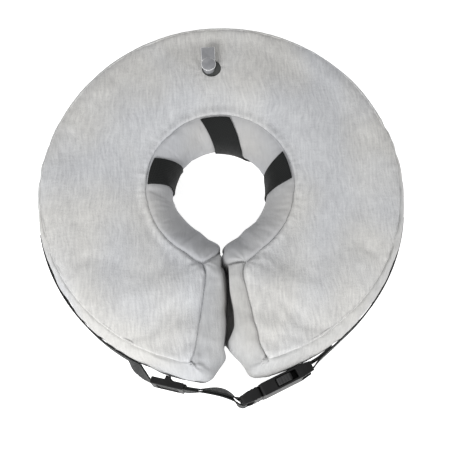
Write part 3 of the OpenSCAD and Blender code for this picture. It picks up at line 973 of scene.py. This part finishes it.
def clear_slider_path():
    """Presses the left gusset in where the slider rides along the strap."""
    mesh = bpy.data.objects["outer_gusset_left_plush"].data
    pressed = 0
    for vert in mesh.vertices:
        local = vert.co / MM - GLIDE_FROM
        along, inward = local.dot(GLIDE_ALONG), local.dot(GLIDE_ACROSS)
        if not -8 < along < 58 or inward > SLIDER_ROOM or not 8 < local.z < 52:
            continue
        share = smooth(along, -8, -1) * (1 - smooth(along, 51, 58))
        share *= smooth(local.z, 8, 13) * (1 - smooth(local.z, 47, 52))
        move = GLIDE_ACROSS * (SLIDER_ROOM - inward) * share
        vert.co += move * MM
        pressed += 1
    print(f"pressed {pressed} points of the gusset clear of the slider")


clear_slider_path()

# %% [markdown]
# ## The strap's paths
#
# Webbing pulled tight runs straight from one thing to the next and turns in a small arc round
# each bar. So a path is a list of those points in plan, with its corners cut a few times over,
# and arcs where it rounds a bar. The left one also leans: its lower edge swings out before the
# slider and between slider and buckle, where the strap is slack.

# %% Draw the paths
def arc_points(centre, radius, first, last, steps):
    turns = (math.radians(first + (last - first) * k / steps) for k in range(steps + 1))
    return [centre + Vector((math.cos(t), math.sin(t), 0)) * radius for t in turns]


def rounded(points, passes=3):
    """Cuts every corner of a line, several times over."""
    for _ in range(passes):
        cut = [points[0]]
        for a, b in zip(points, points[1:]):
            cut += [a.lerp(b, 0.25), a.lerp(b, 0.75)]
        points = cut + [points[-1]]
    return points


def even_steps(points, step):
    """Walks a line in equal steps."""
    lengths = [0.0]
    for a, b in zip(points, points[1:]):
        lengths.append(lengths[-1] + (b - a).length)
    count = max(int(lengths[-1] / step), 8)
    out, k = [], 0
    for n in range(count + 1):
        want = lengths[-1] * n / count
        while k < len(points) - 2 and lengths[k + 1] < want:
            k += 1
        span = max(lengths[k + 1] - lengths[k], 1e-9)
        out.append(points[k].lerp(points[k + 1], min((want - lengths[k]) / span, 1.0)))
    return out, lengths[-1]


def edge_on_strip(name, points, nodes, body, lean, step=1.6):
    """Webbing standing on edge along a line in plan; lean(at, w) moves a point outwards."""
    line, length = even_steps(points, step)
    steps = len(line) - 1

    def place(s, w):
        k = round(s * steps)
        at = line[k]
        tangent = line[min(k + 1, steps)] - line[max(k - 1, 0)]
        out = Vector((tangent.y, -tangent.x, 0)).normalized()
        if out.dot(at) < 0:
            out = -out
        return (at + out * lean(at, w) + Vector((0, 0, STRAP_Z + w * WEB_WIDTH))) * MM

    print(f"{name}: {length:.0f} mm of webbing")
    return strip(name, place, length, steps, webbing, nodes, body, 0.0)


SEWN_R = RING + 1.1
origin = Vector((0, 0, 0))


def in_glide(x, y):
    return GLIDE_FROM + GLIDE_ALONG * x + GLIDE_ACROSS * y


def left_path():
    sewn = arc_points(origin, SEWN_R, 190, 243, 50)
    layer, wrap = 0.9, 2.85
    out = [in_glide(0, 0), in_glide(5, -layer), in_glide(32, -layer), in_glide(50, -layer * 0.8)]
    out += [in_glide(GLIDE_REACH - 9, -1.1), in_glide(GLIDE_REACH - 2, -wrap)]
    glide_turn = math.degrees(math.atan2(GLIDE_ALONG.y, GLIDE_ALONG.x))
    round_bar = arc_points(in_glide(GLIDE_REACH, 0), wrap, glide_turn - 90, glide_turn + 90, 14)
    back = [in_glide(GLIDE_REACH - 9, 1.2), in_glide(50, layer * 1.5), in_glide(34, layer)]
    back += [in_glide(20, layer)]
    round_slider = arc_points(in_glide(14, 3.25), 2.4, glide_turn - 90, glide_turn - 330, 16)
    tail = [in_glide(19, 2.5), in_glide(30, 2.4)]
    return sewn + rounded(out, 2) + round_bar + rounded(back, 2) + round_slider + rounded(tail, 1)


def right_path():
    run = SEWN_R * Vector((math.cos(math.radians(-52.8)), math.sin(math.radians(-52.8)), 0))
    run -= socket_bar
    along = run.normalized()
    across = Vector((-along.y, along.x, 0))
    turn = math.degrees(math.atan2(along.y, along.x))

    def at(x, y):
        return socket_bar + along * x + across * y

    tail = [at(27, 1.0), at(12, 1.0), at(5, 2.3), at(1, 2.85)]
    round_bar = arc_points(socket_bar, 2.85, turn + 90, turn + 270, 14)
    out = [at(1, -2.85), at(5, -2.3), at(12, -0.5), at(30, -0.45)]
    sewn = arc_points(origin, SEWN_R, -52.8, -10, 44)
    return rounded(tail, 2) + round_bar + rounded(out, 2) + sewn


def left_lean(at, w):
    """The webbing twists on its way to the slider and again between slider and buckle."""
    x = (at - GLIDE_FROM).dot(GLIDE_ALONG)
    before = math.sin(math.pi * min(max((x + 26) / 26, 0), 1))
    after = math.sin(math.pi * min(max((x - 29) / (GLIDE_REACH - 33), 0), 1) ** 1.5)
    return 6.5 * after * (w - 0.5) - 1.2 * after - 7.0 * before * (w - 0.5)


strap_left_piece = edge_on_strip("strap_left_webbing", left_path(), ["strap_left"], None,
                                 left_lean)
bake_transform(strap_left_piece)
strap_right_piece = edge_on_strip("strap_right_webbing", right_path(), ["strap_right"],
                                  "collar", lambda at, w: 0.0)

# %% [markdown]
# ## Moulded plastic
#
# The buckle and the slider are nylon mouldings. A moulding has no sharp edges, its faces are
# faintly grained, and handling polishes its corners. The CAD nodes already have the right
# openings and bars, so each is copied and joined, rebuilt on an even grid of small faces, and
# smoothed. That rounds every edge alike, inside the windows too, where a bevel would trip over
# the short edges. Formulas then move in a taper, ribs and grip lines.

# %% Nylon
def vary_roughness(tree, shader, value, low, high):
    spread = add_node(tree, "ShaderNodeMapRange")
    spread.inputs["To Min"].default_value = low
    spread.inputs["To Max"].default_value = high
    tree.links.new(value, spread.inputs["Value"])
    tree.links.new(spread.outputs["Result"], shader.inputs["Roughness"])


def nylon(name, dark=0.007, light=0.015, rough=0.5):
    made, tree, shader = material(name, "black_plastic")
    grain = stretched_noise(tree, (2600, 2600, 2600), detail=2.0)
    wear = stretched_noise(tree, (140, 140, 140), detail=4.0)
    tone = blend_values(tree, grain, wear, 0.5)
    colour = colour_ramp(tree, tone, (dark, dark, dark), (light, light, light * 1.05))
    tree.links.new(colour, shader.inputs["Base Color"])
    bump(tree, shader, grain, 0.2, 0.0002)
    vary_roughness(tree, shader, wear, rough - 0.1, rough + 0.12)
    shader.inputs["Specular IOR Level"].default_value = 0.17
    return made


# %% Rebuild a copy with rounded edges
def joined_copy(node, name):
    bm = bmesh.new()
    bm.from_mesh(frame["nodes"][node].data)
    bmesh.ops.remove_doubles(bm, verts=bm.verts, dist=0.002 * MM)
    for face in bm.faces:
        face.smooth = True
        face.material_index = 0
    return new_object(name, bm)


def moulded(node, name, finish, body, cell=0.5, passes=4, shape=None, added=()):
    """added lists matrices of unit cubes that the even grid fuses with the copy."""
    piece = joined_copy(node, name)
    if added:
        bm = bmesh.new()
        bm.from_mesh(piece.data)
        for place in added:
            bmesh.ops.create_cube(bm, size=1, matrix=place)
        bm.to_mesh(piece.data)
        bm.free()
    rebuilt = piece.modifiers.new("even_grid", "REMESH")
    rebuilt.mode = "VOXEL"
    rebuilt.voxel_size = cell * MM
    rebuilt.use_smooth_shade = True
    rounding = piece.modifiers.new("rounding", "SMOOTH")
    rounding.factor = 0.5
    rounding.iterations = passes
    evaluated = piece.evaluated_get(bpy.context.evaluated_depsgraph_get())
    mesh = bpy.data.meshes.new_from_object(evaluated)
    piece.modifiers.clear()
    piece.data = mesh
    if shape:
        for vert in mesh.vertices:
            vert.co = shape(vert.co)
    for polygon in mesh.polygons:
        polygon.use_smooth = True
        polygon.material_index = 0
    mesh.materials.clear()
    mesh.materials.append(finish)
    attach(piece, body)
    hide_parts(node)
    print(f"{name}: {len(mesh.polygons)} faces")
    return piece

# %% [markdown]
# ## The buckle and the slider
#
# Socket and plug taper towards their webbing bars, and the plug's base has grip ribs. The two
# arms are crowned where fingers press them. These could be modelled into the solid, but as
# formulas on the even grid they cost three lines each. The socket also gets two guide ribs
# inside, which the CAD socket hasn't, so that its window doesn't show the table through it.

# %% Buckle and slider
BUCKLE_ACROSS = Vector((-BUCKLE_ALONG.y, BUCKLE_ALONG.x, 0))


def buckle_shape(co):
    """Tapers the ends, and cuts grip ribs into the plug's base."""
    local = co / MM - BUCKLE_AT - Vector((0, 0, STRAP_Z))
    along, across, up = local.dot(BUCKLE_ALONG), local.dot(BUCKLE_ACROSS), local.z
    thin = 1 - 0.22 * smooth(abs(along), 22, 33.5)
    if along < -8:
        thin -= 0.07 * (0.5 + 0.5 * math.cos(2 * math.pi * (along + 20) / 3.2)) * smooth(
            abs(across), 3.4, 4.6) * (1 - smooth(abs(along + 19), 5, 6.5))
    narrow = 1 - 0.07 * smooth(abs(along), 24, 33.5)
    across *= thin
    up *= narrow if abs(up) > 13 else 1.0
    return (BUCKLE_AT + BUCKLE_ALONG * along + BUCKLE_ACROSS * across
            + Vector((0, 0, up + STRAP_Z))) * MM


def arm_shape(co):
    """Crowns the press pad and gives it four grip lines."""
    local = co / MM - BUCKLE_AT - Vector((0, 0, STRAP_Z))
    along, up = local.dot(BUCKLE_ALONG), local.z
    pad = smooth(abs(up), 13.5, 15.5)
    crown = 0.9 * pad * (1 - ((along - 7) / 12) ** 2)
    lines = -0.28 * pad * max(0.0, math.cos(2 * math.pi * along / 2.6))
    return co + Vector((0, 0, math.copysign(max(crown, 0) + lines, up))) * MM


nylon_black = nylon("moulded_nylon")
# the arms' moulding is paler and a little glossier than the rest of the buckle
nylon_paler = nylon("moulded_nylon_paler", 0.024, 0.045, 0.45)
buckle_frame = Matrix((BUCKLE_ALONG, BUCKLE_ACROSS, (0, 0, 1))).transposed().to_4x4()
buckle_frame = Matrix.Translation((BUCKLE_AT + Vector((0, 0, STRAP_Z))) * MM) @ buckle_frame
guide_ribs = [
    buckle_frame @ Matrix.Translation((7 * MM, 0, up * MM)) @ Matrix.Diagonal(
        (26 * MM, 9.4 * MM, 3.6 * MM, 1))
    for up in (-5.6, 5.6)
]
moulded("buckle_socket", "buckle_socket_moulding", nylon_black, "collar",
        shape=buckle_shape, added=guide_ribs)
moulded("buckle_plug", "buckle_plug_moulding", nylon_black, "buckle_plug_body",
        shape=buckle_shape)
for side in ("upper", "lower"):
    node = "buckle_arm_" + side
    moulded(node, node + "_moulding", nylon_paler, node + "_body",
            cell=0.4, passes=3, shape=arm_shape)
moulded("strap_slider", "strap_slider_moulding", nylon_black, "strap_slider_body",
        cell=0.45, passes=4)
print(f"buckle bars: {2 * BAR_X:.1f} mm apart")

# %% [markdown]
# ## Valve
#
# The valve is one soft moulding of clear vinyl: a short tube with a flat tab, and a plug on
# its own tab that folds over into it. Its edges are round and small, so a copy of each CAD
# node is cleaned of flat edges and bevelled. Remeshing would wear such thin walls away.

# %% Round the edges of a copy
def softened(node, name, finish, width, body, segments=2, rim=None):
    piece = joined_copy(node, name)
    bm = bmesh.new()
    bm.from_mesh(piece.data)
    bmesh.ops.dissolve_limit(bm, angle_limit=math.radians(1.0), verts=bm.verts, edges=bm.edges)
    bm.to_mesh(piece.data)
    bm.free()
    piece.data.materials.append(finish)
    edge = piece.modifiers.new("moulded_edges", "BEVEL")
    edge.width = width * MM
    edge.segments = segments
    edge.limit_method = "ANGLE"
    edge.angle_limit = math.radians(28)
    edge.harden_normals = True
    # the bevel's faces get a second finish; on the valve plug it is a painted highlight
    if rim:
        piece.data.materials.append(rim)
        edge.material = 1
    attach(piece, body)
    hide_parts(node)
    return piece

# %% [markdown]
# ## Clear vinyl
#
# Thick clear vinyl shows mostly by its bright edges. A shader that lets all light through
# would be true to it, but on parts this small it turns to speckle. So the body is a soft grey
# that lets a little light through, and the plug's bevelled edge is painted near white: a painted
# highlight for the light that its edges catch.

# %% Clear vinyl
def clear_vinyl(name, dark, light, rough, through):
    made, tree, shader = material(name, "clear_vinyl")
    cloud = stretched_noise(tree, (180, 180, 180), detail=1.0)
    tree.links.new(colour_ramp(tree, cloud, dark, light), shader.inputs["Base Color"])
    bump(tree, shader, cloud, 0.06, 0.0004)
    shader.inputs["Roughness"].default_value = rough
    shader.inputs["Transmission Weight"].default_value = through
    shader.inputs["IOR"].default_value = 1.46
    shader.inputs["Coat Weight"].default_value = 0.5
    return made


valve_vinyl = clear_vinyl("valve_vinyl", (0.27, 0.275, 0.29), (0.35, 0.355, 0.37), 0.3, 0.12)
# painted highlight: a near-white finish on the plug's bevelled edge stands in for the light it
# catches
valve_painted_highlight = clear_vinyl("valve_vinyl_painted_highlight", (0.80, 0.80, 0.80), (0.88, 0.88, 0.88), 0.2, 0.0)
softened("valve_stem", "valve_stem_vinyl", valve_vinyl, 0.3, "valve_stem_body")
softened("valve_plug", "valve_plug_vinyl", valve_vinyl, 0.45, "valve_plug_body",
         rim=valve_painted_highlight)
softened("valve_check_flap", "valve_check_flap_vinyl", valve_vinyl, 0.15,
         "valve_check_flap_body")
softened("valve_flange", "valve_flange_vinyl", valve_vinyl, 0.25, "collar")
skirt = softened("valve_skirt", "valve_skirt_vinyl", valve_vinyl, 0.15, "collar")
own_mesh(skirt)

# %% [markdown]
# ## Zip
#
# The cover opens opposite the slit, so that the bladder can be taken out and the cover
# washed. The zip is a coil zip: two woven tapes, each with a nylon coil along its edge, whose
# turns lock into each other. The tapes come first. Each follows the bulge of the gusset a
# little way inside it, and carries a finer weave than the straps.

# %% Tapes
def zip_weave():
    made, tree, shader = material("zip_tape_weave", "zip_tape")
    along, over = along_and_over(tree)
    rib = ridges(tree, over, math.pi * 1.4)
    pick = ridges(tree, along, math.pi * 1.9)
    height = arithmetic(tree, "MULTIPLY", rib, pick)
    # painted shade: the colour follows the weave's height and is darker in its hollows; the rib
    # pattern itself is the tape's own
    colour = colour_ramp(tree, height, (0.16, 0.16, 0.165), (0.27, 0.27, 0.275), 0.0, 1.0)
    tree.links.new(colour, shader.inputs["Base Color"])
    bump(tree, shader, height, 0.6, 0.0002)
    shader.inputs["Roughness"].default_value = 0.8
    shader.inputs["Specular IOR Level"].default_value = 0.2
    return made


ZIP_FROM, ZIP_SWEEP = 35.0, 110.0       # where the zip starts round the ring, and how far it runs
TAPE_LENGTH = 310.0      # nominal, for the weave's scale
BULGE_R = (HALF_GAP ** 2 + (RING - OUTER_SEAM) ** 2) / (2 * (RING - OUTER_SEAM))
tape_weave = zip_weave()


def zip_tape(node):
    low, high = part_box(node)
    middle, width = (low.z + high.z) / 2 / MM, (high.z - low.z) / MM

    def place(s, w):
        turn = math.radians(ZIP_FROM - 0.9 + (ZIP_SWEEP + 1.8) * s)
        z = middle + w * width
        reach = math.sqrt(BULGE_R ** 2 - (z - MID_Z) ** 2) - BULGE_R + RING - 2.2
        return Vector((reach * math.cos(turn), reach * math.sin(turn), z)) * MM

    strip(node + "_cloth", place, TAPE_LENGTH, 150, tape_weave, [node], "collar", 0.0, width=width,
          thick=0.6)
    print(f"{node}: {width:.1f} mm wide")


zip_tape("zip_tape_upper")
zip_tape("zip_tape_lower")

# %% [markdown]
# ## The zip's coils
#
# A coil seen from outside is a row of small rounded bars. A real helix would need many faces
# that nobody sees, so one turn is a bevelled cube of 26 faces. It is repeated along the ring,
# and the lower coil stands half a turn on from the upper one, as locked coils do.

# %% Coils
def zip_nylon():
    made, tree, shader = material("zip_coil_nylon", "zip_coil")
    grain = stretched_noise(tree, (900, 900, 900), detail=2.0)
    colour = colour_ramp(tree, grain, (0.20, 0.20, 0.205), (0.30, 0.30, 0.305))
    tree.links.new(colour, shader.inputs["Base Color"])
    bump(tree, shader, grain, 0.15, 0.0001)
    shader.inputs["Roughness"].default_value = 0.4
    return made


COIL_PITCH = 1.55        # from one turn of a coil to its next, in mm


def zip_coil(node, finish, shift):
    low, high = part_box(node)
    inwards = 0.35 if low.z / MM > MID_Z - 1 else -0.35
    middle = (low.z + high.z) / 2 / MM - inwards
    tall = (high.z - low.z) / MM + abs(inwards) * 2
    radius = RING - 1.2
    count = int(math.radians(ZIP_SWEEP - 4) * radius / COIL_PITCH)
    bm = bmesh.new()
    for k in range(count):
        turn = math.radians(ZIP_FROM + 2) + (k + shift) * COIL_PITCH / radius
        place = Matrix.Rotation(turn, 4, "Z") @ Matrix.Translation(
            Vector((radius, 0, middle)) * MM)
        size = Matrix.Diagonal((1.6 * MM, 0.68 * MM, tall * MM, 1))
        bmesh.ops.create_cube(bm, size=1, matrix=place @ size)
    bmesh.ops.bevel(bm, geom=bm.edges[:], offset=0.22 * MM, offset_type="OFFSET", segments=1,
                    profile=0.5, affect="EDGES", material=-1)
    for face in bm.faces:
        face.smooth = True
    piece = new_object(node + "_turns", bm)
    piece.data.materials.append(finish)
    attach(piece, "collar")
    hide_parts(node)
    print(f"{node}: {count} turns")


coil_nylon = zip_nylon()
zip_coil("zip_coil_upper", coil_nylon, 0.0)
zip_coil("zip_coil_lower", coil_nylon, 0.5)

# %% [markdown]
# ## The zip's metal
#
# Slider, pull and end stops are small nickel-plated castings. Their edges are tumbled round
# before plating, so they are bevelled copies like the valve's parts, in a metal that is
# brushed and a little worn.

# %% Slider, pull and end stops
def zip_metal():
    made, tree, shader = material("zip_nickel", "zip_metal")
    brushed = stretched_noise(tree, (200, 200, 4000), detail=2.0)
    wear = stretched_noise(tree, (260, 260, 260), detail=3.0)
    colour = colour_ramp(tree, wear, (0.42, 0.42, 0.43), (0.55, 0.55, 0.56))
    tree.links.new(colour, shader.inputs["Base Color"])
    bump(tree, shader, brushed, 0.12, 0.0001)
    vary_roughness(tree, shader, wear, 0.22, 0.42)
    shader.inputs["Metallic"].default_value = 1.0
    return made


nickel = zip_metal()
softened("zip_slider", "zip_slider_casting", nickel, 0.2, "zip_slider_body")
softened("zip_pull", "zip_pull_casting", nickel, 0.2, "zip_pull_body")
softened("zip_end_stops", "zip_end_stops_pressed", nickel, 0.15, "collar")
print("zip: slider, pull and two end stops in", nickel.name)

# %% [markdown]
# ## Floor
#
# The collar lies on a white table that is lit from below as well, so that hardly any shadow
# stays on it. A plain white floor would turn grey under soft lights. Letting it glow a little
# keeps it white without lighting the collar much harder.

# %% Floor
FLOOR_GLOW = 0.68


def white_floor():
    bm = bmesh.new()
    bmesh.ops.create_grid(bm, x_segments=8, y_segments=8, size=3.0)
    bmesh.ops.translate(bm, verts=bm.verts, vec=(0, 0, -0.0005))
    floor = new_object("floor", bm)
    finish = bpy.data.materials.new("white_table")
    finish.use_nodes = True
    shader = finish.node_tree.nodes["Principled BSDF"]
    shader.inputs["Base Color"].default_value = (0.97, 0.97, 0.97, 1)
    shader.inputs["Roughness"].default_value = 0.9
    shader.inputs["Specular IOR Level"].default_value = 0.2
    shader.inputs["Emission Color"].default_value = (1, 1, 1, 1)
    shader.inputs["Emission Strength"].default_value = FLOOR_GLOW
    floor.data.materials.append(finish)
    print("floor glows at", FLOOR_GLOW)


white_floor()

# %% [markdown]
# ## Light
#
# A large soft light stands in front on the left and a weaker one on the right, both at about
# the height of a lamp. The room's own white light fills the rest. One lamp alone would leave
# the right side flat, and two equal ones would wash out the creases at the seams.

# %% Light
def area_light(name, place, size, power, aim=(0, 0, 0.04)):
    data = bpy.data.lights.new(name, "AREA")
    data.shape = "DISK"
    data.size = size
    data.energy = power
    lamp = bpy.data.objects.new(name, data)
    lamp.location = place
    lamp.rotation_euler = (Vector(aim) - Vector(place)).to_track_quat("-Z", "Y").to_euler()
    bpy.context.scene.collection.objects.link(lamp)


ROOM_LIGHT = 0.46
area_light("key_softbox", (-0.6, -0.85, 0.8), 0.6, 13.0)
area_light("fill_softbox", (0.95, -0.8, 0.8), 0.8, 6.0)
world = bpy.data.worlds.new("white_room")
bpy.context.scene.world = world
world.use_nodes = True
world.node_tree.nodes["Background"].inputs["Color"].default_value = (1, 1, 1, 1)
world.node_tree.nodes["Background"].inputs["Strength"].default_value = ROOM_LIGHT
bpy.context.scene.view_settings.view_transform = "Standard"
print("lights:", [lamp.name for lamp in bpy.data.lights])

# %% [markdown]
# ## Camera
#
# The view is from high above and a little in front of the slit, so that the ring reads as
# round and the strap, the buckle and the slit are all seen. The camera is placed by a tilt, a
# slight roll and a distance from the ring's middle. A look-at constraint would hide the roll.

# %% Camera
TILT = 0.351             # from straight down towards the slit, in radians
ROLL = 0.05
DISTANCE = 0.728
LENS = 63.63
SHIFT = (0.0098, -0.0627)


def set_camera():
    back = Vector((0, -math.sin(TILT), math.cos(TILT)))
    rise = Vector((0, math.cos(TILT), math.sin(TILT)))
    right = math.cos(ROLL) * Vector((1, 0, 0)) - math.sin(ROLL) * rise
    up = math.sin(ROLL) * Vector((1, 0, 0)) + math.cos(ROLL) * rise
    place = Vector((0, 0, MID_Z * MM)) + DISTANCE * back
    turn = Matrix((right, up, back)).transposed().to_4x4()
    data = bpy.data.cameras.new("camera")
    data.lens = LENS
    data.sensor_width = 36.0
    data.shift_x, data.shift_y = SHIFT
    camera = bpy.data.objects.new("camera", data)
    camera.matrix_world = Matrix.Translation(place) @ turn
    bpy.context.scene.collection.objects.link(camera)
    bpy.context.scene.camera = camera
    print("camera at", [round(c, 3) for c in place])


set_camera()
